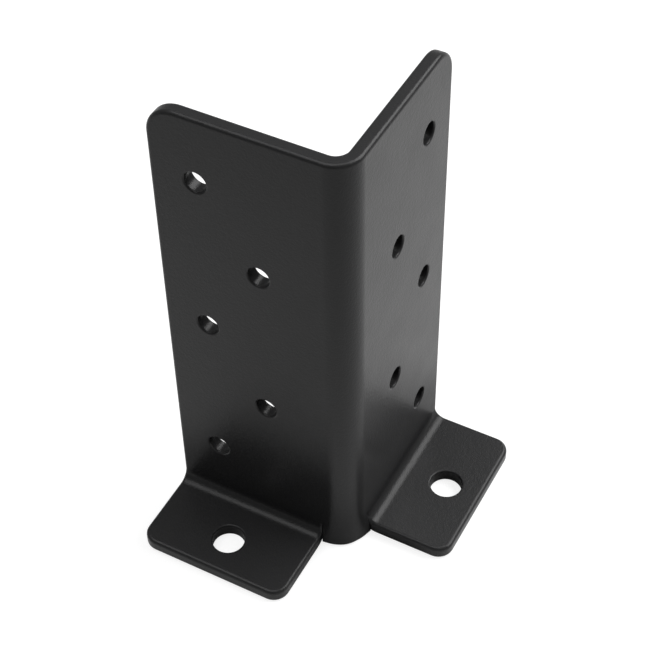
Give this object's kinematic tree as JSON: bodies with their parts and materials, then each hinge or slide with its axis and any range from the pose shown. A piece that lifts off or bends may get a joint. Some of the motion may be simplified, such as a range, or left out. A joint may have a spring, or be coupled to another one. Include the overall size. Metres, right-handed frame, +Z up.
{
  "type": "flag pole bracket",
  "caption": "Folded steel corner bracket that holds a square pole or post upright, with screw holes in its legs and a bolt-down foot under each.",
  "frame": {"origin": "middle of the bracket's square outline on the ground, under the feet", "axes": "+Z up along the legs; one leg runs along +X with its foot towards -Y, the other along +Y with its foot towards -X; the upright bend is at -X -Y"},
  "size_m": [0.1128, 0.1128, 0.203],
  "materials": {
    "black_coat": "satin black powder coat with a fine orange-peel texture"
  },
  "bodies": {
    "root": {"bracket": "black_coat"}
  },
  "joints": []
}
